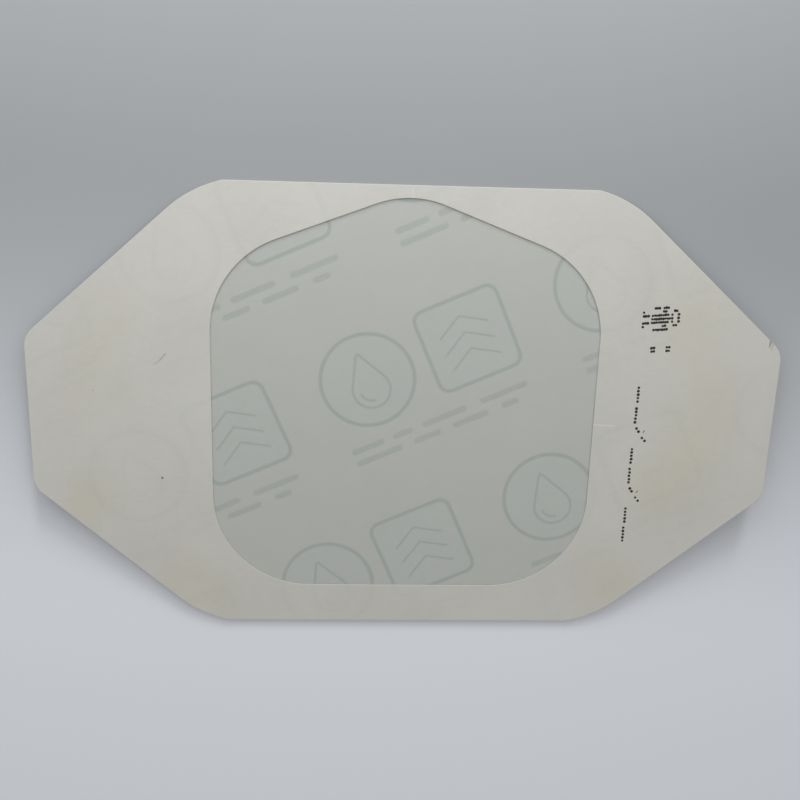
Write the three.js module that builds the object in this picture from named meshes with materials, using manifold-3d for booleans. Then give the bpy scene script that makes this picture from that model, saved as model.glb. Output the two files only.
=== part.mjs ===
// Film dressing in its paper delivery frame: the frame, the clear film and the
// printed release liner, as one thin laminate that lies liner down.
// Millimetres, +Z up. X runs along the wings and Y towards the window's apex. The
// origin is the middle of the outline, on the surface that the liner lies on.

import * as THREE from 'three';
import { mergeVertices } from 'three/addons/utils/BufferGeometryUtils.js';
import Module from 'manifold-3d';

// Outline that the frame and the liner share
const overallWidth = 97.6;
const overallHeight = 60;
const wingEdge = 20.2; // straight end of a wing, between its sharp corners
const flankAngle = 41.9; // degrees, slope of the four slanted edges
const shoulderSetback = 2.9; // where the shoulder's round starts, before the sharp corner
const shoulderRadius = 15.7;
const wingCornerRadius = 3.3;

// Window in the frame: flat bottom, upright sides and a low roof with its apex up
const windowWidth = 50.9;
const windowShift = -0.21; // off the outline's middle, along X
const bottomMargin = 5.43; // frame left below the window
const topMargin = 1.6; // frame left above the apex
const roofAngle = 20.6; // degrees
const apexRadius = 12.6;
const windowCornerRadius = 13;

// Film, as wide as its adhesive reaches under the frame
const filmWidth = 70;

// Layers, from the surface up
const linerThickness = 0.14;
const filmThickness = 0.06;
const frameThickness = 0.2;
const layerGap = 0.01;

// The wings rise in one gentle bend, then run on straight to their ends
const bendStart = 22; // from the outline's middle
const bendLength = 6; // along X
const leftRise = 1.4; // at the wing's end
const rightRise = 2.25;

// Small tear in the edge at the right wing's upper corner, through frame and liner
const nickWidth = 0.45;
const nickDepth = 0.9;
const nickLean = 8; // degrees, off -Y towards the window

const arcSteps = 14;
const cornerSteps = 8;
const bendSteps = 8;
const cutMargin = 2; // how far a cutting body runs past what it cuts

const paperWhite = new THREE.Color(0xdcdbd3);
const linerWhite = new THREE.Color(0xd3d6d3);
const filmGrey = new THREE.Color(0xb9bdb8);

const wasm = await Module();
wasm.setup();

const halfWidth = overallWidth / 2;
const halfHeight = overallHeight / 2;
const flank = THREE.MathUtils.degToRad(flankAngle);
const roof = THREE.MathUtils.degToRad(roofAngle);
const lean = THREE.MathUtils.degToRad(nickLean);

const linerTop = linerThickness;
const filmBottom = linerTop + layerGap;
const filmTop = filmBottom + filmThickness;
const frameBottom = filmTop + layerGap;
const frameTop = frameBottom + frameThickness;

// Points along an arc about a centre, angles in radians from +X
function arcPoints(centre, radius, fromAngle, toAngle, steps) {
  const points = [];
  for (let i = 0; i <= steps; i++) {
    const angle = fromAngle + ((toAngle - fromAngle) * i) / steps;
    const offset = new THREE.Vector2(Math.cos(angle), Math.sin(angle)).multiplyScalar(radius);
    points.push(centre.clone().add(offset));
  }
  return points;
}

// The outline's upper right quarter, from the top edge round to the wing's end.
// The shoulder's round meets the top edge in a faint corner and runs smoothly into
// the slanted edge, and the small round at the wing's end is smooth both ways.
function quarterOutline() {
  const normal = new THREE.Vector2(Math.sin(flank), Math.cos(flank));
  const reach = normal.dot(new THREE.Vector2(halfWidth, wingEdge / 2));
  const sharpX = (reach - normal.y * halfHeight) / normal.x;
  const breakPoint = new THREE.Vector2(sharpX - shoulderSetback, halfHeight);
  const depth = reach - normal.dot(breakPoint);
  const turn = Math.acos(1 - depth / shoulderRadius);
  const flankDirection = Math.PI / 2 - flank;
  const breakDirection = flankDirection + turn;
  const breakNormal = new THREE.Vector2(Math.cos(breakDirection), Math.sin(breakDirection));
  const shoulderCentre = breakPoint.clone().addScaledVector(breakNormal, -shoulderRadius);
  const cornerCentre = new THREE.Vector2(halfWidth - wingCornerRadius, 0);
  cornerCentre.y = (reach - wingCornerRadius - normal.x * cornerCentre.x) / normal.y;
  return [
    ...arcPoints(shoulderCentre, shoulderRadius, breakDirection, flankDirection, arcSteps),
    ...arcPoints(cornerCentre, wingCornerRadius, flankDirection, 0, cornerSteps),
  ];
}

function mirrored(points, xSign, ySign) {
  return points.map((p) => new THREE.Vector2(p.x * xSign, p.y * ySign));
}

function outlineShape() {
  const quarter = quarterOutline();
  return new THREE.Shape([
    ...quarter,
    ...mirrored(quarter, 1, -1).reverse(),
    ...mirrored(quarter, -1, -1),
    ...mirrored(quarter, -1, 1).reverse(),
  ]);
}

// Rounds each corner of a closed polygon, given counterclockwise, by its own radius
function roundedPolygon(corners) {
  const points = [];
  corners.forEach(({ at, radius }, i) => {
    const before = corners[(i + corners.length - 1) % corners.length].at;
    const after = corners[(i + 1) % corners.length].at;
    const toBefore = before.clone().sub(at).normalize();
    const toAfter = after.clone().sub(at).normalize();
    const halfAngle = Math.acos(toBefore.dot(toAfter)) / 2;
    const inward = toBefore.clone().add(toAfter).normalize();
    const centre = at.clone().addScaledVector(inward, radius / Math.sin(halfAngle));
    const sweep = Math.PI / 2 - halfAngle;
    const middle = inward.clone().negate().angle();
    points.push(...arcPoints(centre, radius, middle - sweep, middle + sweep, arcSteps));
  });
  return new THREE.Shape(points);
}

function windowShape() {
  const side = windowWidth / 2;
  const bottomY = -halfHeight + bottomMargin;
  const apexSharpening = apexRadius * (1 / Math.cos(roof) - 1);
  const apexY = halfHeight - topMargin + apexSharpening;
  const shoulderY = apexY - side * Math.tan(roof);
  const corner = (x, y, radius) => ({ at: new THREE.Vector2(x + windowShift, y), radius });
  return roundedPolygon([
    corner(-side, bottomY, windowCornerRadius),
    corner(side, bottomY, windowCornerRadius),
    corner(side, shoulderY, windowCornerRadius),
    corner(0, apexY, apexRadius),
    corner(-side, shoulderY, windowCornerRadius),
  ]);
}

// How high the laminate's underside stands above the surface at a distance from
// the middle, on a wing that rises by riseAtEnd
function wingHeight(distance, riseAtEnd) {
  const past = Math.max(distance - bendStart, 0);
  const slope = riseAtEnd / (halfWidth - bendStart - bendLength / 2);
  const bent = Math.min(past, bendLength);
  return slope * ((bent * bent) / (2 * bendLength) + (past - bent));
}

// X positions where the laminate's side view turns, from the left to the right
function bendStations() {
  const right = [];
  for (let i = 0; i <= bendSteps; i++) {
    right.push(bendStart + (bendLength * i) / bendSteps);
  }
  right.push(halfWidth + cutMargin);
  return [...right.map((x) => -x).reverse(), ...right];
}

function undersideAt(x) {
  return wingHeight(Math.abs(x), x < 0 ? leftRise : rightRise);
}

// A closed solid from a geometry, ready to be joined and cut
function solidFrom(geometry) {
  geometry.deleteAttribute('normal');
  geometry.deleteAttribute('uv');
  const merged = mergeVertices(geometry, 1e-5);
  return new wasm.Manifold(
    new wasm.Mesh({
      numProp: 3,
      vertProperties: new Float32Array(merged.attributes.position.array),
      triVerts: new Uint32Array(merged.index.array),
    }),
  );
}

// A band of the laminate between two heights, seen from the front and drawn out
// along Y past the outline
function layerBand(low, high) {
  const stations = bendStations();
  const lower = stations.map((x) => new THREE.Vector2(x, undersideAt(x) + low));
  const upper = stations.map((x) => new THREE.Vector2(x, undersideAt(x) + high));
  const depth = overallHeight + 2 * cutMargin;
  const geometry = new THREE.ExtrudeGeometry(new THREE.Shape([...lower, ...upper.reverse()]), {
    depth,
    bevelEnabled: false,
  });
  geometry.rotateX(Math.PI / 2);
  geometry.translate(0, depth / 2, 0);
  return solidFrom(geometry);
}

// An upright prism of a plan outline, tall enough to pass through every layer
function planPrism(shape) {
  const depth = Math.max(leftRise, rightRise) + frameTop + 2 * cutMargin;
  const geometry = new THREE.ExtrudeGeometry(shape, { depth, bevelEnabled: false });
  geometry.translate(0, 0, -cutMargin);
  return solidFrom(geometry);
}

// The tear is a thin wedge that runs in from the slanted edge, where the small
// round of the right wing's upper corner starts
function nickShape() {
  const mouth = quarterOutline()[arcSteps + 1];
  const inward = new THREE.Vector2(-Math.sin(lean), -Math.cos(lean));
  const alongEdge = new THREE.Vector2(Math.cos(flank), -Math.sin(flank));
  const outside = mouth.clone().addScaledVector(inward, -nickDepth);
  return new THREE.Shape([
    mouth.clone().addScaledVector(inward, nickDepth),
    outside.clone().addScaledVector(alongEdge, nickWidth),
    outside.clone().addScaledVector(alongEdge, -nickWidth),
  ]);
}

function filmShape() {
  const side = filmWidth / 2;
  const reach = halfHeight + cutMargin;
  const left = windowShift - side;
  const right = windowShift + side;
  return new THREE.Shape([
    new THREE.Vector2(left, -reach),
    new THREE.Vector2(right, -reach),
    new THREE.Vector2(right, reach),
    new THREE.Vector2(left, reach),
  ]);
}

function namedMesh(name, solid, material) {
  const { vertProperties, triVerts } = solid.getMesh();
  const geometry = new THREE.BufferGeometry();
  geometry.setAttribute('position', new THREE.BufferAttribute(vertProperties, 3));
  geometry.setIndex(new THREE.BufferAttribute(triVerts, 1));
  const flat = geometry.toNonIndexed();
  flat.computeVertexNormals();
  const mesh = new THREE.Mesh(flat, material);
  mesh.name = name;
  return mesh;
}

const outline = planPrism(outlineShape());
const nick = planPrism(nickShape());
const tornOutline = outline.subtract(nick);

const linerSolid = layerBand(0, linerTop).intersect(tornOutline);
const filmSolid = layerBand(filmBottom, filmTop).intersect(outline).intersect(planPrism(filmShape()));
const frameSolid = layerBand(frameBottom, frameTop).intersect(tornOutline).subtract(planPrism(windowShape()));

const paper = new THREE.MeshStandardMaterial({ color: paperWhite, roughness: 0.75, metalness: 0 });
const clearFilm = new THREE.MeshStandardMaterial({
  color: filmGrey,
  roughness: 0.45,
  metalness: 0,
  transparent: true,
  opacity: 0.4,
});
const linerPaper = new THREE.MeshStandardMaterial({ color: linerWhite, roughness: 0.5, metalness: 0 });

const filmDressing = new THREE.Group();
filmDressing.add(namedMesh('release_liner', linerSolid, linerPaper));
filmDressing.add(namedMesh('film', filmSolid, clearFilm));
filmDressing.add(namedMesh('paper_frame', frameSolid, paper));

export default filmDressing;
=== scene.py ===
# Film dressing in its paper delivery frame, lying liner down: cut rims, paper and film
# finishes, ink marks, light and camera. Sizes in the dictionaries are millimetres.

import math
import random

import bpy
from mathutils import Matrix, Vector


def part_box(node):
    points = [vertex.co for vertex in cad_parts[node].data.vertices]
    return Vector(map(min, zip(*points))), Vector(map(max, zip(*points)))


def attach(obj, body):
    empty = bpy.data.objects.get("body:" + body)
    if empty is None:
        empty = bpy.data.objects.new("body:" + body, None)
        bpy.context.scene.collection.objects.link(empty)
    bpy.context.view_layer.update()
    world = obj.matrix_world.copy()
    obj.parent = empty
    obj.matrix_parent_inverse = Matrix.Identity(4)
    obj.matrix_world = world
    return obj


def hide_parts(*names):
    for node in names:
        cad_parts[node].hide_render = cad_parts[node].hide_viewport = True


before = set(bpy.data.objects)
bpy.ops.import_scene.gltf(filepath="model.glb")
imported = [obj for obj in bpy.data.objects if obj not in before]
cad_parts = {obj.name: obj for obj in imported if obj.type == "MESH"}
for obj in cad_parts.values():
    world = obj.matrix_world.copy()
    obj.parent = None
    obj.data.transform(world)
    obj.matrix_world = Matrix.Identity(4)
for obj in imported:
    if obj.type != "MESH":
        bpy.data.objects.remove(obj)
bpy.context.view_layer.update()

mm = 0.001
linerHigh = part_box("release_liner")[1]
halfWidth = linerHigh[0] / mm
halfHeight = linerHigh[1] / mm
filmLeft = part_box("film")[0][0] / mm
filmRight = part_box("film")[1][0] / mm

view = {
    "place": (-7.84, 35.55, 123.58),
    "aim": (-0.86, 2.08, 0.0),
    "roll": 1.78,  # degrees about the line of view
    "lens": 43.46,
    "sensor": 36.0,
    "nearClip": 5.0,
}

light = {
    "panelAt": (-12.0, 84.0, 42.0),  # soft box by the top edge
    "panelWidth": 180.0,
    "panelHeight": 64.0,
    "panelLean": 20.0,  # degrees, face down towards the dressing
    "panelPower": 0.085,
    "lampHeight": 15.0,  # degrees above the floor, the low lamp behind the top edge
    "lampTurn": 6.0,  # degrees from +Y towards +X
    "lampSpread": 11.0,
    "lampStrength": 1.3,
    "fill": 0.515,
}


def tone(red, green, blue):
    channels = [((c / 255 + 0.055) / 1.055) ** 2.4 for c in (red, green, blue)]
    return (*channels, 1.0)


# Camera at the photograph's angle

def placeCamera():
    place = Vector(view["place"]) * mm
    look = (Vector(view["aim"]) * mm - place).normalized()
    side = look.cross(Vector((0, 1, 0))).normalized()
    up = side.cross(look)
    turn = Matrix((side, up, -look)).transposed().to_4x4()
    bpy.ops.object.camera_add()
    cameraObject = bpy.context.object
    cameraObject.name = "camera"
    cameraObject.data.lens = view["lens"]
    cameraObject.data.sensor_width = view["sensor"]
    cameraObject.data.clip_start = view["nearClip"] * mm
    roll = Matrix.Rotation(math.radians(view["roll"]), 4, "Z")
    cameraObject.matrix_world = Matrix.Translation(place) @ turn @ roll
    bpy.context.scene.camera = cameraObject


def placeLights():
    bpy.ops.object.light_add(type="AREA")
    panel = bpy.context.object
    panel.name = "soft_box"
    panel.data.shape = "RECTANGLE"
    panel.data.size = light["panelWidth"] * mm
    panel.data.size_y = light["panelHeight"] * mm
    panel.data.energy = light["panelPower"]
    panel.visible_camera = False
    panel.location = Vector(light["panelAt"]) * mm
    panel.rotation_euler = (math.radians(light["panelLean"] - 90), 0, 0)
    bpy.ops.object.light_add(type="SUN")
    lamp = bpy.context.object
    lamp.name = "low_lamp"
    lamp.data.energy = light["lampStrength"]
    lamp.data.angle = math.radians(light["lampSpread"])
    lamp.visible_camera = False
    lamp.rotation_euler = (math.radians(light["lampHeight"] - 90), 0, -math.radians(light["lampTurn"]))
    world = bpy.data.worlds.new("studio")
    world.use_nodes = True
    background = world.node_tree.nodes["Background"]
    background.inputs["Color"].default_value = (1, 1, 1, 1)
    background.inputs["Strength"].default_value = light["fill"]
    bpy.context.scene.world = world
    bpy.context.scene.view_settings.view_transform = "Standard"


# Small helpers for building meshes by operator

def pick(*pieces):
    bpy.ops.object.select_all(action="DESELECT")
    for piece in pieces:
        piece.select_set(True)
    bpy.context.view_layer.objects.active = pieces[0]


def applyModifier(piece, kind, **settings):
    pick(piece)
    bpy.ops.object.modifier_add(type=kind)
    modifier = piece.modifiers[-1]
    for name, value in settings.items():
        setattr(modifier, name, value)
    bpy.ops.object.modifier_apply(modifier=modifier.name)


def selectEdges(piece, keys):
    pick(piece)
    bpy.ops.object.mode_set(mode="EDIT")
    bpy.ops.mesh.select_mode(type="EDGE")
    bpy.ops.mesh.select_all(action="DESELECT")
    bpy.ops.object.mode_set(mode="OBJECT")
    for edge in piece.data.edges:
        edge.select = edge.key in keys
    bpy.ops.object.mode_set(mode="EDIT")


# Small helpers for building node trees

def feed(tree, socket, value):
    if isinstance(value, bpy.types.NodeSocket):
        tree.links.new(value, socket)
    else:
        socket.default_value = value


def addNode(tree, kind, inputs=None, **settings):
    node = tree.nodes.new(kind)
    for name, value in settings.items():
        setattr(node, name, value)
    for name, value in (inputs or {}).items():
        feed(tree, node.inputs[name], value)
    return node


def calc(tree, operation, *values):
    node = addNode(tree, "ShaderNodeMath", operation=operation)
    for socket, value in zip(node.inputs, values):
        feed(tree, socket, value)
    return node.outputs[0]


def softStep(tree, value, low, high, atLow, atHigh):
    ends = {"Value": value, "From Min": low, "From Max": high, "To Min": atLow, "To Max": atHigh}
    node = addNode(tree, "ShaderNodeMapRange", ends, interpolation_type="SMOOTHSTEP")
    return node.outputs["Result"]


def mixTone(tree, factor, first, second, blend="MIX"):
    node = addNode(tree, "ShaderNodeMix", data_type="RGBA", blend_type=blend)
    feed(tree, node.inputs[0], factor)  # the colour sockets are 6 and 7, the result is 2
    feed(tree, node.inputs[6], first)
    feed(tree, node.inputs[7], second)
    return node.outputs[2]


def newGroup(name, inputs, outputs):
    group = bpy.data.node_groups.new(name, "ShaderNodeTree")
    for label, kind, value in inputs:
        socket = group.interface.new_socket(name=label, in_out="INPUT", socket_type=kind)
        if value is not None:
            socket.default_value = value
    for label, kind in outputs:
        group.interface.new_socket(name=label, in_out="OUTPUT", socket_type=kind)
    start = group.nodes.new("NodeGroupInput")
    end = group.nodes.new("NodeGroupOutput")
    return group, start, end


def useGroup(tree, group, inputs):
    node = tree.nodes.new("ShaderNodeGroup")
    node.node_tree = group
    for label, value in inputs.items():
        feed(tree, node.inputs[label], value)
    return node


def newMaterial(name, roughness):
    material = bpy.data.materials.new(name)
    material.use_nodes = True
    tree = material.node_tree
    shader = tree.nodes["Principled BSDF"]
    shader.inputs["Roughness"].default_value = roughness
    coordinates = tree.nodes.new("ShaderNodeTexCoord")
    return material, tree, shader, coordinates.outputs["Object"]


def grainTone(tree, shade, base, low):
    dark = [low * c for c in tone(*base)[:3]] + [1.0]
    return mixTone(tree, shade, dark, tone(*base))


def addBump(tree, shader, height, strength, distance):
    bump = addNode(tree, "ShaderNodeBump", {
        "Height": height, "Strength": strength, "Distance": distance * mm})
    tree.links.new(bump.outputs[0], shader.inputs["Normal"])


# Shared surface effects

grainLook = {
    "fibre": 2.2,  # noise scale per millimetre
    "stretch": 0.45,  # the fibres run along X
    "detail": 5.0,
    "fibreRoughness": 0.65,
    "cloud": 0.09,
    "cloudDetail": 3.0,
    "cloudShare": 0.55,
}


def makePaperGrain():
    group, start, end = newGroup(
        "paperGrain",
        (("Vector", "NodeSocketVector", None), ("Fibre", "NodeSocketFloat", grainLook["fibre"])),
        (("Shade", "NodeSocketFloat"), ("Height", "NodeSocketFloat")),
    )
    inMm = addNode(group, "ShaderNodeVectorMath", operation="SCALE")
    feed(group, inMm.inputs[0], start.outputs["Vector"])
    inMm.inputs["Scale"].default_value = 1 / mm
    stretched = addNode(group, "ShaderNodeMapping", {"Vector": inMm.outputs[0]})
    stretched.inputs["Scale"].default_value = (grainLook["stretch"], 1.0, 1.0)
    fibre = addNode(group, "ShaderNodeTexNoise", {
        "Vector": stretched.outputs[0], "Scale": start.outputs["Fibre"],
        "Detail": grainLook["detail"], "Roughness": grainLook["fibreRoughness"]})
    cloud = addNode(group, "ShaderNodeTexNoise", {
        "Vector": inMm.outputs[0], "Scale": grainLook["cloud"], "Detail": grainLook["cloudDetail"],
        "Roughness": 0.5})
    fibreShare = calc(group, "MULTIPLY", fibre.outputs["Fac"], 1 - grainLook["cloudShare"])
    mixed = calc(group, "MULTIPLY_ADD", cloud.outputs["Fac"], grainLook["cloudShare"], fibreShare)
    group.links.new(mixed, end.inputs["Shade"])
    group.links.new(fibre.outputs["Fac"], end.inputs["Height"])
    return group


def makeStrokeMark():
    # soft mask of a straight stroke between two points, in millimetres
    group, start, end = newGroup(
        "strokeMark",
        (("Vector", "NodeSocketVector", None), ("From", "NodeSocketVector", None),
         ("To", "NodeSocketVector", None), ("Half Width", "NodeSocketFloat", 0.05),
         ("Softness", "NodeSocketFloat", 0.05)),
        (("Mask", "NodeSocketFloat"),),
    )
    flat = addNode(group, "ShaderNodeVectorMath", operation="MULTIPLY")
    feed(group, flat.inputs[0], start.outputs["Vector"])
    flat.inputs[1].default_value = (1 / mm, 1 / mm, 0)
    offset = addNode(group, "ShaderNodeVectorMath", operation="SUBTRACT")
    feed(group, offset.inputs[0], flat.outputs[0])
    feed(group, offset.inputs[1], start.outputs["From"])
    run = addNode(group, "ShaderNodeVectorMath", operation="SUBTRACT")
    feed(group, run.inputs[0], start.outputs["To"])
    feed(group, run.inputs[1], start.outputs["From"])
    along = addNode(group, "ShaderNodeVectorMath", operation="DOT_PRODUCT")
    feed(group, along.inputs[0], offset.outputs[0])
    feed(group, along.inputs[1], run.outputs[0])
    length = addNode(group, "ShaderNodeVectorMath", operation="DOT_PRODUCT")
    feed(group, length.inputs[0], run.outputs[0])
    feed(group, length.inputs[1], run.outputs[0])
    share = calc(group, "DIVIDE", along.outputs["Value"], length.outputs["Value"])
    share = calc(group, "MINIMUM", calc(group, "MAXIMUM", share, 0.0), 1.0)
    nearest = addNode(group, "ShaderNodeVectorMath", operation="SCALE")
    feed(group, nearest.inputs[0], run.outputs[0])
    feed(group, nearest.inputs["Scale"], share)
    away = addNode(group, "ShaderNodeVectorMath", operation="DISTANCE")
    feed(group, away.inputs[0], offset.outputs[0])
    feed(group, away.inputs[1], nearest.outputs[0])
    outer = calc(group, "ADD", start.outputs["Half Width"], start.outputs["Softness"])
    mask = softStep(group, away.outputs["Value"], start.outputs["Half Width"], outer, 1.0, 0.0)
    group.links.new(mask, end.inputs["Mask"])
    return group


printLayout = {
    "turn": 24.0,  # degrees, the rows' slope across the liner
    "shift": (3.0, 4.5),
    "cellWidth": 33.0,
    "cellHeight": 25.0,
    "ringAt": (-7.4, 3.6),
    "ringRadius": 6.2,
    "dropAt": (-7.4, 2.2),
    "dropRadius": 2.5,
    "dropTip": 0.2,
    "dropHeight": 4.9,
    "glintRadius": 1.5,
    "tileAt": (6.8, 3.6),
    "tileHalf": 5.7,
    "tileRound": 1.4,
    "chevronPitch": 2.3,
    "chevronSlope": 0.6,
    "chevronHalf": 3.4,
    "chevronLift": 1.0,
    "chevronRows": 3,
    "chevronRound": 0.2,
    "fineLine": 0.6,  # weight of the inner strokes, as a share of the outer ones
    "barHalf": 0.4,
    "barRound": 0.3,
    "barShare": 0.7,
    "bars": (  # row height, then the middle and half length of each bar
        (-5.0, ((-10.9, 2.3), (-5.9, 1.4), (0.1, 3.1), (8.6, 3.3))),
        (-6.7, ((-9.9, 3.3), (-3.0, 1.9), (3.2, 2.5), (8.9, 1.2))),
    ),
}


def hypot(tree, x, y):
    return calc(tree, "SQRT", calc(tree, "ADD", calc(tree, "MULTIPLY", x, x), calc(tree, "MULTIPLY", y, y)))


def boxDistance(tree, x, y, halfX, halfY, corner):
    outX = calc(tree, "SUBTRACT", calc(tree, "ABSOLUTE", x), halfX - corner)
    outY = calc(tree, "SUBTRACT", calc(tree, "ABSOLUTE", y), halfY - corner)
    outside = hypot(tree, calc(tree, "MAXIMUM", outX, 0.0), calc(tree, "MAXIMUM", outY, 0.0))
    inside = calc(tree, "MINIMUM", calc(tree, "MAXIMUM", outX, outY), 0.0)
    return calc(tree, "SUBTRACT", calc(tree, "ADD", outside, inside), corner)


def dropDistance(tree, x, y):
    slope = (printLayout["dropRadius"] - printLayout["dropTip"]) / printLayout["dropHeight"]
    rise = math.sqrt(1 - slope * slope)
    side = calc(tree, "ABSOLUTE", x)
    up = calc(tree, "SUBTRACT", y, calc(tree, "MULTIPLY", side, slope / rise))
    up = calc(tree, "MINIMUM", calc(tree, "MAXIMUM", up, 0.0), printLayout["dropHeight"])
    away = hypot(tree, side, calc(tree, "SUBTRACT", y, up))
    radius = calc(tree, "MULTIPLY_ADD", up, -slope, printLayout["dropRadius"])
    return calc(tree, "SUBTRACT", away, radius)


def makeLinerPrint():
    # generic care marks in slanted rows: a drop in a ring, chevrons in a tile, plain bars
    group, start, end = newGroup(
        "linerPrint",
        (("Vector", "NodeSocketVector", None), ("Line", "NodeSocketFloat", 0.36),
         ("Blur", "NodeSocketFloat", 0.1)),
        (("Ink", "NodeSocketFloat"), ("Panel", "NodeSocketFloat")),
    )
    inMm = addNode(group, "ShaderNodeVectorMath", operation="SCALE")
    feed(group, inMm.inputs[0], start.outputs["Vector"])
    inMm.inputs["Scale"].default_value = 1 / mm
    turned = addNode(group, "ShaderNodeMapping", {"Vector": inMm.outputs[0]}, vector_type="TEXTURE")
    turned.inputs["Rotation"].default_value = (0, 0, math.radians(printLayout["turn"]))
    turned.inputs["Location"].default_value = (*printLayout["shift"], 0)
    split = addNode(group, "ShaderNodeSeparateXYZ", {"Vector": turned.outputs[0]})
    rowPlace = calc(group, "DIVIDE", split.outputs["Y"], printLayout["cellHeight"])
    rowPlace = calc(group, "ADD", rowPlace, 0.5)
    odd = calc(group, "FLOORED_MODULO", calc(group, "FLOOR", rowPlace), 2.0)
    columnPlace = calc(group, "DIVIDE", split.outputs["X"], printLayout["cellWidth"])
    columnPlace = calc(group, "ADD", columnPlace, calc(group, "MULTIPLY_ADD", odd, 0.5, 0.5))
    x = calc(group, "MULTIPLY", calc(group, "SUBTRACT", calc(
        group, "FRACT", columnPlace), 0.5), printLayout["cellWidth"])
    y = calc(group, "MULTIPLY", calc(group, "SUBTRACT", calc(
        group, "FRACT", rowPlace), 0.5), printLayout["cellHeight"])

    halfBlur = calc(group, "MULTIPLY", start.outputs["Blur"], 0.5)

    def stroke(distance, weight=1.0):
        half = calc(group, "MULTIPLY", start.outputs["Line"], 0.5 * weight)
        inner = calc(group, "SUBTRACT", half, halfBlur)
        outer = calc(group, "ADD", half, halfBlur)
        return softStep(group, calc(group, "ABSOLUTE", distance), inner, outer, 1.0, 0.0)

    def filled(distance):
        return softStep(group, distance, calc(group, "MULTIPLY", halfBlur, -1.0), halfBlur, 1.0, 0.0)

    def local(at):
        return calc(group, "SUBTRACT", x, at[0]), calc(group, "SUBTRACT", y, at[1])

    ringX, ringY = local(printLayout["ringAt"])
    ring = calc(group, "SUBTRACT", hypot(group, ringX, ringY), printLayout["ringRadius"])
    dropX, dropY = local(printLayout["dropAt"])
    drop = dropDistance(group, dropX, dropY)
    glint = calc(group, "SUBTRACT", hypot(group, dropX, dropY), printLayout["glintRadius"])
    leftLow = calc(group, "MULTIPLY", filled(dropX), filled(dropY))
    tileX, tileY = local(printLayout["tileAt"])
    tile = boxDistance(group, tileX, tileY, printLayout["tileHalf"], printLayout["tileHalf"],
                       printLayout["tileRound"])
    pitch = printLayout["chevronPitch"]
    lift = calc(group, "MULTIPLY_ADD", calc(group, "ABSOLUTE", tileX), printLayout["chevronSlope"], tileY)
    lift = calc(group, "SUBTRACT", lift, printLayout["chevronLift"])
    chevron = calc(group, "FRACT", calc(group, "ADD", calc(group, "DIVIDE", lift, pitch), 0.5))
    chevron = calc(group, "MULTIPLY", calc(group, "SUBTRACT", chevron, 0.5), pitch)
    chevronField = filled(boxDistance(group, tileX, lift, printLayout["chevronHalf"],
                                      printLayout["chevronRows"] * pitch / 2, printLayout["chevronRound"]))
    fine = printLayout["fineLine"]
    ink = calc(group, "MAXIMUM", stroke(ring), stroke(tile))
    ink = calc(group, "MAXIMUM", ink, stroke(drop, fine))
    ink = calc(group, "MAXIMUM", ink, calc(group, "MULTIPLY", stroke(glint, fine), leftLow))
    ink = calc(group, "MAXIMUM", ink, calc(group, "MULTIPLY", stroke(chevron, fine), chevronField))
    for rowY, bars in printLayout["bars"]:
        for middle, half in bars:
            bar = boxDistance(group, *local((middle, rowY)), half, printLayout["barHalf"],
                              printLayout["barRound"])
            bar = calc(group, "MULTIPLY", filled(bar), printLayout["barShare"])
            ink = calc(group, "MAXIMUM", ink, bar)
    panel = calc(group, "MAXIMUM", filled(ring), filled(tile))
    group.links.new(ink, end.inputs["Ink"])
    group.links.new(panel, end.inputs["Panel"])
    return group


# Paper frame

paperFinish = {
    "face": (194, 193, 187),
    "aged": (191, 188, 172),
    "core": (188, 187, 182),
    "coreRoughness": 0.75,
    "coreFibre": 6.0,
    "coreLow": 0.9,  # darkest grain, as a share of the tone
    "roughness": 0.62,
    "grainShade": 0.07,
    "grainRange": (0.3, 0.7),
    "grainStrength": 0.6,
    "grainHeight": 0.018,
    "patchScale": 85.0,
    "patchRange": (0.34, 0.66),
    "patchLow": 0.35,
    "agedSpots": (  # x, y, radius, strength
        (36, 14, 10, 0.7), (40, 2, 11, 0.8), (37, -10, 11, 0.9), (28, -23, 8, 0.9),
        (-41, 4, 10, 0.6), (-42, -12, 8, 0.9), (-30, -24, 9, 0.8), (-38, 12, 9, 0.5), (-24, -27, 6, 0.8),
    ),
    "neutralFrom": 43.5,  # the wings' ends stay neutral
    "neutralFull": 46.8,
    "ghost": (150, 158, 155),
    "ghostShare": 0.07,  # of the liner's print, seen through the paper
    "ghostLine": 0.7,
    "ghostBlur": 1.0,
}

paperMarksAndHighlights = (  # from, to, half width, softness, colour, share; a spot starts where it ends
    ((-32.84, 6.52), (-32.02, 7.12), 0.03, 0.1, (150, 150, 140), 0.5),
    ((-32.02, 7.12), (-31.36, 7.9), 0.04, 0.11, (146, 146, 140), 0.6),
    ((-32.27, -8.98), (-32.27, -8.98), 0.1, 0.1, (70, 68, 60), 0.8),
    ((-40.61, 3.04), (-40.61, 3.04), 0.05, 0.1, (150, 140, 108), 0.6),
    # painted highlight: these two lighter strokes lie along slits cut in the frame and stand for light caught
    # by the cut
    ((25.26, -0.77), (28.12, -0.9), 0.04, 0.09, (214, 213, 208), 0.5),
    ((-0.03, 28.5), (-0.03, 29.8), 0.04, 0.1, (212, 211, 206), 0.3),
)


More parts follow.
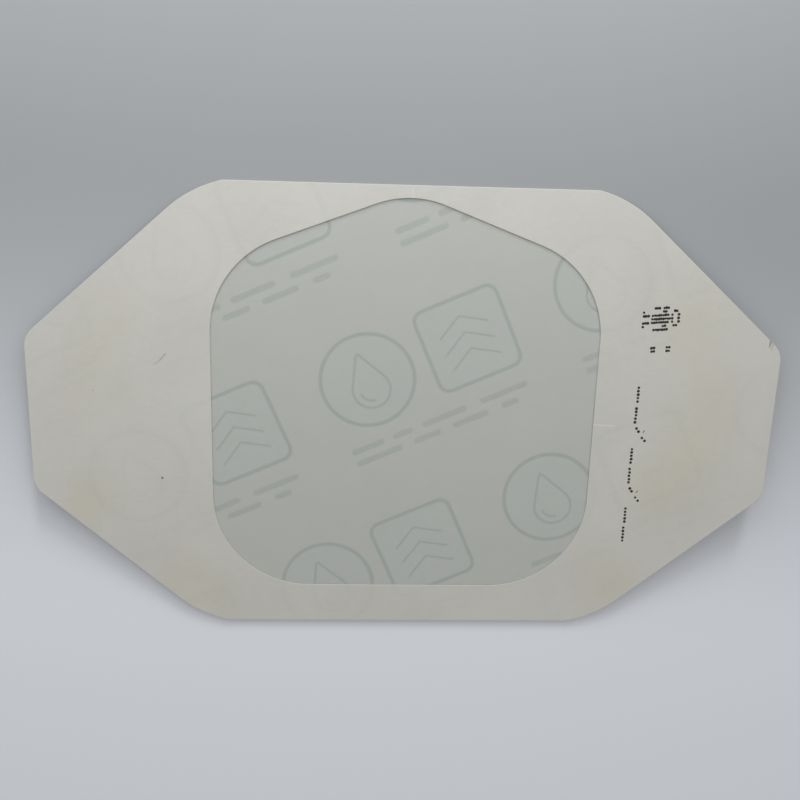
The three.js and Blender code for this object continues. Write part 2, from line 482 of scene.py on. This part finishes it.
def makeAgedShare(tree, strokeMark, place):
    total = 0.0
    for x, y, radius, strength in paperFinish["agedSpots"]:
        spot = useGroup(tree, strokeMark, {
            "Vector": place, "From": (x, y, 0), "To": (x, y, 0), "Half Width": 0.0, "Softness": radius})
        total = calc(tree, "MULTIPLY_ADD", spot.outputs["Mask"], strength, total)
    split = addNode(tree, "ShaderNodeSeparateXYZ", {"Vector": place})
    across = calc(tree, "ABSOLUTE", split.outputs["X"])
    ends = softStep(tree, across, paperFinish["neutralFrom"] * mm, paperFinish["neutralFull"] * mm, 1.0, 0.0)
    patches = addNode(tree, "ShaderNodeTexNoise", {
        "Vector": place, "Scale": paperFinish["patchScale"], "Detail": 2.0, "Roughness": 0.5})
    patchy = softStep(tree, patches.outputs["Fac"], *paperFinish["patchRange"], paperFinish["patchLow"], 1.0)
    return calc(tree, "MULTIPLY", calc(tree, "MULTIPLY", calc(tree, "MINIMUM", total, 1.0), ends), patchy)


def makePaperFace(paperGrain, strokeMark, linerPrint):
    material, tree, shader, place = newMaterial("frame_paper_face", paperFinish["roughness"])
    grain = useGroup(tree, paperGrain, {"Vector": place})
    share = makeAgedShare(tree, strokeMark, place)
    colour = mixTone(tree, share, tone(*paperFinish["face"]), tone(*paperFinish["aged"]))
    shade = softStep(tree, grain.outputs["Shade"], *paperFinish["grainRange"],
                     1 - paperFinish["grainShade"], 1.0)
    grey = addNode(tree, "ShaderNodeCombineColor")
    for socket in grey.inputs[:3]:
        tree.links.new(shade, socket)
    colour = mixTone(tree, 1.0, colour, grey.outputs[0], "MULTIPLY")
    ghost = useGroup(tree, linerPrint, {
        "Vector": place, "Line": paperFinish["ghostLine"], "Blur": paperFinish["ghostBlur"]})
    through = calc(tree, "MULTIPLY", ghost.outputs["Ink"], paperFinish["ghostShare"])
    colour = mixTone(tree, through, colour, tone(*paperFinish["ghost"]))
    # the specks and fibres are the paper's own; the two lighter slit strokes are painted highlight
    for begin, finish, half, soft, shade, strength in paperMarksAndHighlights:
        mark = useGroup(tree, strokeMark, {
            "Vector": place, "From": (*begin, 0), "To": (*finish, 0), "Half Width": half, "Softness": soft})
        masked = calc(tree, "MULTIPLY", mark.outputs["Mask"], strength)
        colour = mixTone(tree, masked, colour, tone(*shade))
    tree.links.new(colour, shader.inputs["Base Color"])
    addBump(tree, shader, grain.outputs["Height"], paperFinish["grainStrength"], paperFinish["grainHeight"])
    return material


def makePaperCore(paperGrain):
    material, tree, shader, place = newMaterial("frame_paper_core", paperFinish["coreRoughness"])
    grain = useGroup(tree, paperGrain, {"Vector": place, "Fibre": paperFinish["coreFibre"]})
    colour = grainTone(tree, grain.outputs["Height"], paperFinish["core"], paperFinish["coreLow"])
    tree.links.new(colour, shader.inputs["Base Color"])
    return material


sheet = {
    "flankAngle": 41.9,
    "wingEdge": 20.2,
    "shoulderSetback": 2.9,
    "shoulderRadius": 15.7,
    "wingCornerRadius": 3.3,
    "arcSteps": 20,
    "cornerSteps": 10,
    "bendStart": 22.0,
    "bendLength": 6.0,
    "leftRise": 1.4,
    "rightRise": 2.25,
    "rimStrip": 0.5,  # strip of quads along every cut edge
    "stationStep": 4.0,
    "bendStep": 0.75,
    "rimRound": 0.04,
    "wallNormal": 0.3,  # Z share of a face's normal, at most, on a cut wall
    "flatNormal": 0.97,  # and at least, on a sheet's two sides
    "smoothAngle": 20.0,
}

nick = {
    "beforeCorner": 0.4,
    "mouth": 0.4,
    "depth": 0.9,
    "lean": 8.0,
    "tip": 0.1,
}

window = {
    "width": 50.9,
    "shift": -0.21,
    "bottomMargin": 5.43,
    "topMargin": 1.6,
    "roofAngle": 20.6,
    "apexRadius": 12.6,
    "cornerRadius": 13.0,
    "arcSteps": 24,
}

layers = {  # frame and film thinner than the CAD solids, for a narrow shadow line in the window
    "liner": 0.21,  # thicker than the CAD solid, only to keep the overall height
    "film": 0.03,
    "frame": 0.1,
    "gap": 0.01,
}
filmBottom = layers["liner"] + layers["gap"]
frameBottom = filmBottom + layers["film"] + layers["gap"]
frameTop = frameBottom + layers["frame"]


def arcPoints(centre, radius, fromAngle, toAngle, steps):
    points = []
    for i in range(steps + 1):
        angle = fromAngle + (toAngle - fromAngle) * i / steps
        points.append(centre + Vector((math.cos(angle), math.sin(angle))) * radius)
    return points


def quarterOutline():
    flank = math.radians(sheet["flankAngle"])
    normal = Vector((math.sin(flank), math.cos(flank)))
    reach = normal.dot(Vector((halfWidth, sheet["wingEdge"] / 2)))
    sharpX = (reach - normal.y * halfHeight) / normal.x
    breakPoint = Vector((sharpX - sheet["shoulderSetback"], halfHeight))
    turn = math.acos(1 - (reach - normal.dot(breakPoint)) / sheet["shoulderRadius"])
    flankDirection = math.pi / 2 - flank
    breakDirection = flankDirection + turn
    breakNormal = Vector((math.cos(breakDirection), math.sin(breakDirection)))
    shoulderCentre = breakPoint - breakNormal * sheet["shoulderRadius"]
    corner = sheet["wingCornerRadius"]
    cornerX = halfWidth - corner
    cornerCentre = Vector((cornerX, (reach - corner - normal.x * cornerX) / normal.y))
    shoulder = arcPoints(shoulderCentre, sheet["shoulderRadius"], breakDirection, flankDirection,
                         sheet["arcSteps"])
    wingCorner = arcPoints(cornerCentre, corner, flankDirection, 0, sheet["cornerSteps"])
    return shoulder, wingCorner


def nickPoints(cornerStart):
    flank = math.radians(sheet["flankAngle"])
    lean = math.radians(nick["lean"])
    along = Vector((math.cos(flank), -math.sin(flank)))
    inward = Vector((-math.sin(lean), -math.cos(lean)))
    across = Vector((math.cos(lean), -math.sin(lean))) * nick["tip"] / 2
    mouth = cornerStart - along * (nick["beforeCorner"] + nick["mouth"] / 2)
    tip = mouth + inward * nick["depth"]
    half = along * nick["mouth"] / 2
    return [mouth - half, tip - across, tip + across, mouth + half]


def outlinePoints(torn):
    shoulder, wingCorner = quarterOutline()
    quarter = shoulder + wingCorner
    first = shoulder + (nickPoints(wingCorner[0]) if torn else []) + wingCorner

    def mirrored(xSign, ySign):
        return [Vector((p.x * xSign, p.y * ySign)) for p in quarter]

    return first + mirrored(1, -1)[::-1] + mirrored(-1, -1) + mirrored(-1, 1)[::-1]


def windowPoints():
    roof = math.radians(window["roofAngle"])
    side = window["width"] / 2
    bottomY = -halfHeight + window["bottomMargin"]
    apexY = halfHeight - window["topMargin"] + window["apexRadius"] * (1 / math.cos(roof) - 1)
    shoulderY = apexY - side * math.tan(roof)
    low, high = window["cornerRadius"], window["apexRadius"]
    corners = (((-side, bottomY), low), ((side, bottomY), low), ((side, shoulderY), low),
               ((0, apexY), high), ((-side, shoulderY), low))
    points = []
    for i, (at, radius) in enumerate(corners):
        here = Vector(at)
        toBefore = (Vector(corners[i - 1][0]) - here).normalized()
        toAfter = (Vector(corners[(i + 1) % len(corners)][0]) - here).normalized()
        halfAngle = toBefore.angle(toAfter) / 2
        inward = (toBefore + toAfter).normalized()
        centre = here + inward * (radius / math.sin(halfAngle))
        middle = math.atan2(-inward.y, -inward.x)
        sweep = math.pi / 2 - halfAngle
        points += arcPoints(centre, radius, middle - sweep, middle + sweep, window["arcSteps"])
    return [p + Vector((window["shift"], 0)) for p in points]


def wingLift(x):
    rise = sheet["leftRise"] if x < 0 else sheet["rightRise"]
    slope = rise / (halfWidth - sheet["bendStart"] - sheet["bendLength"] / 2)
    past = max(abs(x) - sheet["bendStart"], 0)
    bent = min(past, sheet["bendLength"])
    return slope * (bent * bent / (2 * sheet["bendLength"]) + past - bent)


def stations():
    places = []
    x = -halfWidth + sheet["stationStep"] / 2
    bendEnd = sheet["bendStart"] + sheet["bendLength"]
    while x < halfWidth:
        places.append(x)
        inBend = sheet["bendStart"] <= abs(x) <= bendEnd
        x += sheet["bendStep"] if inBend else sheet["stationStep"] / 2
    return places


def drawLoop(name, points):
    bpy.ops.object.select_all(action="DESELECT")
    bpy.ops.mesh.primitive_circle_add(vertices=len(points), radius=halfWidth * mm)
    loop = bpy.context.object
    loop.name = name
    for vertex, point in zip(loop.data.vertices, points):
        vertex.co = (point.x * mm, point.y * mm, 0)
    return loop


def flatSheet(name, loops):
    rings = [drawLoop(name, points) for points in loops]
    pick(*rings)
    if len(rings) > 1:
        bpy.ops.object.join()
    piece = bpy.context.object
    bpy.ops.object.mode_set(mode="EDIT")
    bpy.ops.mesh.select_all(action="SELECT")
    bpy.ops.mesh.fill(use_beauty=True)
    bpy.ops.mesh.select_all(action="SELECT")
    bpy.ops.mesh.normals_make_consistent(inside=False)
    bpy.ops.object.mode_set(mode="OBJECT")
    facesDown = piece.data.polygons[0].normal.z < 0
    bpy.ops.object.mode_set(mode="EDIT")
    if facesDown:
        bpy.ops.mesh.flip_normals()
    bpy.ops.mesh.inset(thickness=sheet["rimStrip"] * mm, use_boundary=True)
    for x in stations():
        bpy.ops.mesh.select_all(action="SELECT")
        bpy.ops.mesh.bisect(plane_co=(x * mm, 0, 0), plane_no=(1, 0, 0))
    bpy.ops.object.mode_set(mode="OBJECT")
    return piece


def thicken(piece, bottom, thickness, rimRound):
    for vertex in piece.data.vertices:
        vertex.co.z = (bottom + wingLift(vertex.co.x / mm)) * mm
    applyModifier(piece, "SOLIDIFY", thickness=thickness * mm, offset=1.0, use_even_offset=True)
    if rimRound:
        walls, faces = set(), set()
        for face in piece.data.polygons:
            (walls if abs(face.normal.z) < sheet["wallNormal"] else faces).update(face.edge_keys)
        selectEdges(piece, walls & faces)
        bpy.ops.mesh.bevel(offset=rimRound * mm, segments=2, affect="EDGES", clamp_overlap=False)
        bpy.ops.object.mode_set(mode="OBJECT")
    pick(piece)
    bpy.ops.object.shade_smooth_by_angle(angle=math.radians(sheet["smoothAngle"]))


def paint(piece, *materials):
    piece.data.materials.clear()
    for material in materials:
        piece.data.materials.append(material)


def isFlat(polygon):
    return abs(polygon.normal.z) > sheet["flatNormal"]


def settle(piece, node):
    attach(piece, "root")
    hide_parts(node)


def makePaperFrame(face, core):
    piece = flatSheet("paper_frame_sheet", (outlinePoints(True), windowPoints()))
    thicken(piece, frameBottom, layers["frame"], sheet["rimRound"])
    paint(piece, face, core)
    for polygon in piece.data.polygons:
        polygon.material_index = 0 if isFlat(polygon) else 1
    settle(piece, "paper_frame")
    print("paper frame:", len(piece.data.polygons), "faces")


# Film

filmFinish = {
    "haze": (192, 195, 190),
    "alpha": 0.3,
    "fibre": 0.8,
    "low": 0.93,
    "roughness": 0.38,
    "smoothest": 0.33,
    "roughest": 0.46,
    "grainRange": (0.2, 0.8),
}


def makeFilmMaterial(paperGrain):
    material, tree, shader, place = newMaterial("clear_film_satin", filmFinish["roughness"])
    grain = useGroup(tree, paperGrain, {"Vector": place, "Fibre": filmFinish["fibre"]})
    colour = grainTone(tree, grain.outputs["Shade"], filmFinish["haze"], filmFinish["low"])
    tree.links.new(colour, shader.inputs["Base Color"])
    rough = softStep(tree, grain.outputs["Height"], *filmFinish["grainRange"],
                     filmFinish["smoothest"], filmFinish["roughest"])
    tree.links.new(rough, shader.inputs["Roughness"])
    shader.inputs["Alpha"].default_value = filmFinish["alpha"]
    return material


def makeFilm(material):
    piece = flatSheet("film_sheet", (outlinePoints(False),))
    bpy.ops.object.mode_set(mode="EDIT")
    for x, side in ((filmLeft, -1), (filmRight, 1)):
        bpy.ops.mesh.select_all(action="SELECT")
        bpy.ops.mesh.bisect(plane_co=(x * mm, 0, 0), plane_no=(side, 0, 0), clear_outer=True)
    bpy.ops.object.mode_set(mode="OBJECT")
    thicken(piece, filmBottom, layers["film"], 0)
    paint(piece, material)
    settle(piece, "film")
    print("film:", len(piece.data.polygons), "faces")


# Release liner

linerFinish = {
    "roughness": 0.45,
    "fibre": 1.4,
    "low": 0.94,
    "grainStrength": 0.3,
    "grainHeight": 0.01,
    "inkLine": 0.5,
    "panelShare": 0.5,
    "inner": {  # the print shows through the paper
        "paper": (221, 221, 217),
        "panel": (208, 216, 213),
        "ink": (166, 182, 178),
        "inkShare": 0.85,
        "blur": 0.25,
    },
    "outer": {
        "paper": (222, 222, 217),
        "panel": (222, 222, 217),
        "ink": (92, 138, 132),
        "inkShare": 1.0,
        "blur": 0.06,
    },
}


def makeLinerSide(name, side, paperGrain, linerPrint):
    material, tree, shader, place = newMaterial(name, linerFinish["roughness"])
    grain = useGroup(tree, paperGrain, {"Vector": place, "Fibre": linerFinish["fibre"]})
    colour = grainTone(tree, grain.outputs["Shade"], side["paper"], linerFinish["low"])
    marks = useGroup(tree, linerPrint, {
        "Vector": place, "Line": linerFinish["inkLine"], "Blur": side["blur"]})
    panel = calc(tree, "MULTIPLY", marks.outputs["Panel"], linerFinish["panelShare"])
    colour = mixTone(tree, panel, colour, tone(*side["panel"]))
    inked = calc(tree, "MULTIPLY", marks.outputs["Ink"], side["inkShare"])
    colour = mixTone(tree, inked, colour, tone(*side["ink"]))
    tree.links.new(colour, shader.inputs["Base Color"])
    addBump(tree, shader, grain.outputs["Height"], linerFinish["grainStrength"], linerFinish["grainHeight"])
    return material


def makeLiner(inner, outer, core):
    piece = flatSheet("release_liner_sheet", (outlinePoints(True),))
    thicken(piece, 0, layers["liner"], sheet["rimRound"])
    paint(piece, inner, outer, core)
    for polygon in piece.data.polygons:
        side = 0 if polygon.normal.z > 0 else 1
        polygon.material_index = side if isFlat(polygon) else 2
    settle(piece, "release_liner")
    print("release liner:", len(piece.data.polygons), "faces")


# Ink-jet marks on the right wing

stamp = {
    "dotRadius": 0.19,
    "dotThickness": 0.02,
    "dotSides": 12,
    "dotRound": 0.008,
    "sunk": 0.004,
    "smoothAngle": 35.0,
    "inkDark": (14, 14, 14),
    "inkLight": (46, 44, 40),
    "inkScale": 4000.0,
    "roughness": 0.7,
    "sizeRange": (0.85, 1.12),
    "jitter": 0.03,
    "seed": 11,
    "glyphAt": (30.6, 15.12),
    "glyphPitch": (0.28, 0.48),
    "glyphSlope": 0.105,  # rise of a row to the right
    "glyphDot": 0.95,  # size, as a share of a full dot
    "glyph": (
        ".....xxx.xxx....",
        "x........xx...xx",
        "xxx.xxxxxxxx.x..x",
        "....xxxxxxxxxx..x",
        "xxx.xxxxxxxx.x..x",
        "x........xx...xx",
        ".....xxxxxxx....",
        "",
        "",
        "",
        "",
        ".....xx.....xx..",
        ".....xx.....xx..",
    ),
    "columnAt": (30.82, 4.55),
    "columnLean": -0.012,
    "cellPitch": 2.86,
    "dashPitch": 0.48,
    "dashDots": 5,
    "cells": "--/--/--",
    "slash": ((0.3, 0.1), (0.58, -0.33), (1.15, -1.2), (1.5, -1.62)),
    "stray": (1.3, -0.35),  # a thin streak beside each slash
    "strayDot": 0.6,
    "strayStretch": (0.35, 1.9),
    "strayTurn": -0.6,
}


def stampPlaces():
    places = []
    left, top = stamp["glyphAt"]
    stepX, stepY = stamp["glyphPitch"]
    for row, line in enumerate(stamp["glyph"]):
        for column, dot in enumerate(line):
            if dot == "x":
                along = column * stepX
                y = top - row * stepY + along * stamp["glyphSlope"]
                places.append((left + along, y, stamp["glyphDot"], False))
    columnX, columnTop = stamp["columnAt"]
    for i, cell in enumerate(stamp["cells"]):
        y = columnTop - i * stamp["cellPitch"]
        x = columnX + (y - columnTop) * -stamp["columnLean"]
        if cell == "-":
            places += [(x, y - k * stamp["dashPitch"], 1.0, False) for k in range(stamp["dashDots"])]
        else:
            places += [(x + dx, y + dy, 1.0, False) for dx, dy in stamp["slash"]]
            places.append((x + stamp["stray"][0], y + stamp["stray"][1], stamp["strayDot"], True))
    return places


def makeInk():
    rng = random.Random(stamp["seed"])
    bpy.ops.object.select_all(action="DESELECT")
    bpy.ops.mesh.primitive_cylinder_add(vertices=stamp["dotSides"], radius=stamp["dotRadius"] * mm,
                                        depth=stamp["dotThickness"] * mm)
    dot = bpy.context.object
    dot.name = "ink_marks"
    top = [face for face in dot.data.polygons if face.normal.z > 0.9]
    selectEdges(dot, {key for face in top for key in face.edge_keys})
    bpy.ops.mesh.bevel(offset=stamp["dotRound"] * mm, segments=2, affect="EDGES")
    bpy.ops.object.mode_set(mode="OBJECT")
    copies = []
    for x, y, size, stray in stampPlaces():
        copy = dot.copy()
        copy.data = dot.data.copy()
        bpy.context.collection.objects.link(copy)
        size *= rng.uniform(*stamp["sizeRange"])
        acrossShare, alongShare = stamp["strayStretch"] if stray else (1.0, 1.0)
        stretch = Matrix.Diagonal((size * acrossShare, size * alongShare, 1, 1))
        turn = Matrix.Rotation(stamp["strayTurn"] if stray else rng.uniform(0, math.pi), 4, "Z")
        x += rng.uniform(-stamp["jitter"], stamp["jitter"])
        y += rng.uniform(-stamp["jitter"], stamp["jitter"])
        copy.data.transform(Matrix.Translation((x * mm, y * mm, 0)) @ turn @ stretch)
        copies.append(copy)
    pick(dot)
    bpy.ops.object.delete()
    pick(*copies)
    bpy.ops.object.join()
    piece = bpy.context.object
    piece.name = "ink_marks"
    base = frameTop + stamp["dotThickness"] / 2 - stamp["sunk"]
    for vertex in piece.data.vertices:
        vertex.co.z += (base + wingLift(vertex.co.x / mm)) * mm
    bpy.ops.object.shade_smooth_by_angle(angle=math.radians(stamp["smoothAngle"]))
    material, tree, shader, place = newMaterial("black_ink", stamp["roughness"])
    spread = addNode(tree, "ShaderNodeTexNoise", {"Vector": place, "Scale": stamp["inkScale"], "Detail": 2.0})
    colour = mixTone(tree, spread.outputs["Fac"], tone(*stamp["inkDark"]), tone(*stamp["inkLight"]))
    tree.links.new(colour, shader.inputs["Base Color"])
    paint(piece, material)
    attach(piece, "root")
    print("ink marks:", len(copies), "dots")


# Floor, with painted shade: its colour darkens towards the far side

floorAndShade = {
    "half": 900.0,
    "below": 0.02,  # clear of the liner's flat middle
    "roughness": 0.8,
    "far": (147, 150, 152),
    "near": (222, 225, 231),
    "farAt": 34.0,
    "nearAt": -34.0,
    "slant": 0.05,  # the painted shade runs a little askew
}


def makeFloor():
    bpy.ops.object.select_all(action="DESELECT")
    bpy.ops.mesh.primitive_plane_add(size=2 * floorAndShade["half"] * mm)
    floor = bpy.context.object
    floor.name = "floor"
    floor.data.transform(Matrix.Translation((0, 0, -floorAndShade["below"] * mm)))
    material, tree, shader, place = newMaterial("floor_pale", floorAndShade["roughness"])
    # painted shade: the floor's colour goes from the pale near tone to the dark far tone along Y
    split = addNode(tree, "ShaderNodeSeparateXYZ", {"Vector": place})
    along = calc(tree, "MULTIPLY_ADD", split.outputs["X"], floorAndShade["slant"], split.outputs["Y"])
    share = softStep(tree, along, floorAndShade["nearAt"] * mm, floorAndShade["farAt"] * mm, 0.0, 1.0)
    colour = mixTone(tree, share, tone(*floorAndShade["near"]), tone(*floorAndShade["far"]))
    tree.links.new(colour, shader.inputs["Base Color"])
    paint(floor, material)


placeCamera()
placeLights()
makeFloor()
print("camera, light and floor set")

paperGrain = makePaperGrain()
strokeMark = makeStrokeMark()
linerPrint = makeLinerPrint()
paperFace = makePaperFace(paperGrain, strokeMark, linerPrint)
paperCore = makePaperCore(paperGrain)
linerInner = makeLinerSide("liner_inner_side", linerFinish["inner"], paperGrain, linerPrint)
linerOuter = makeLinerSide("liner_printed_side", linerFinish["outer"], paperGrain, linerPrint)
print("finishes made")

makeLiner(linerInner, linerOuter, paperCore)
makeFilm(makeFilmMaterial(paperGrain))
makePaperFrame(paperFace, paperCore)
makeInk()
